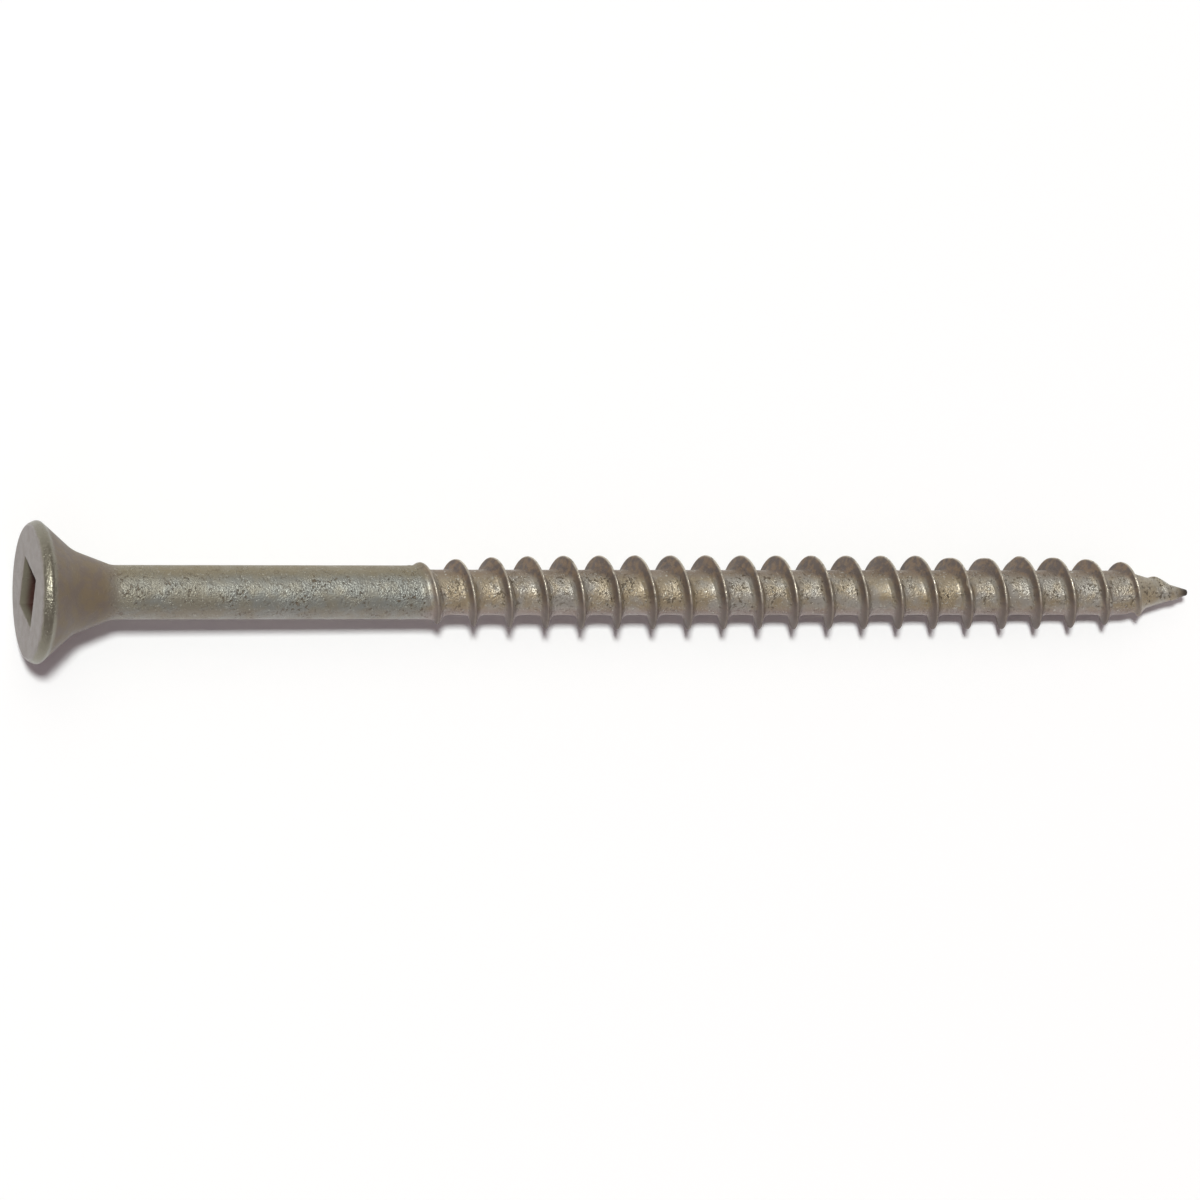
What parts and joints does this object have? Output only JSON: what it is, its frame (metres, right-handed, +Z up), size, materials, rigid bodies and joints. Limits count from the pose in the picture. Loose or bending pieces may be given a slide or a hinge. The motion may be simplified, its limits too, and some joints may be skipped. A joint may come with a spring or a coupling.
{
  "type": "deck screw",
  "caption": "Bugle-head wood screw with a square drive, plain shank, coarse single-start thread and sharp point, lying on its side.",
  "frame": {"origin": "on the floor, under the middle of the screw's box, as it lies on its side", "axes": "+Z up, +X along the screw from its head to its tip, which lies about 1.8 degrees lower than the head, +Y across it"},
  "size_m": [0.0762, 0.0088, 0.0088],
  "materials": {
    "coated_steel": "olive-tan baked coating over steel, slightly pitted, semi-gloss"
  },
  "bodies": {
    "root": {"deck_screw": "coated_steel"}
  },
  "joints": []
}
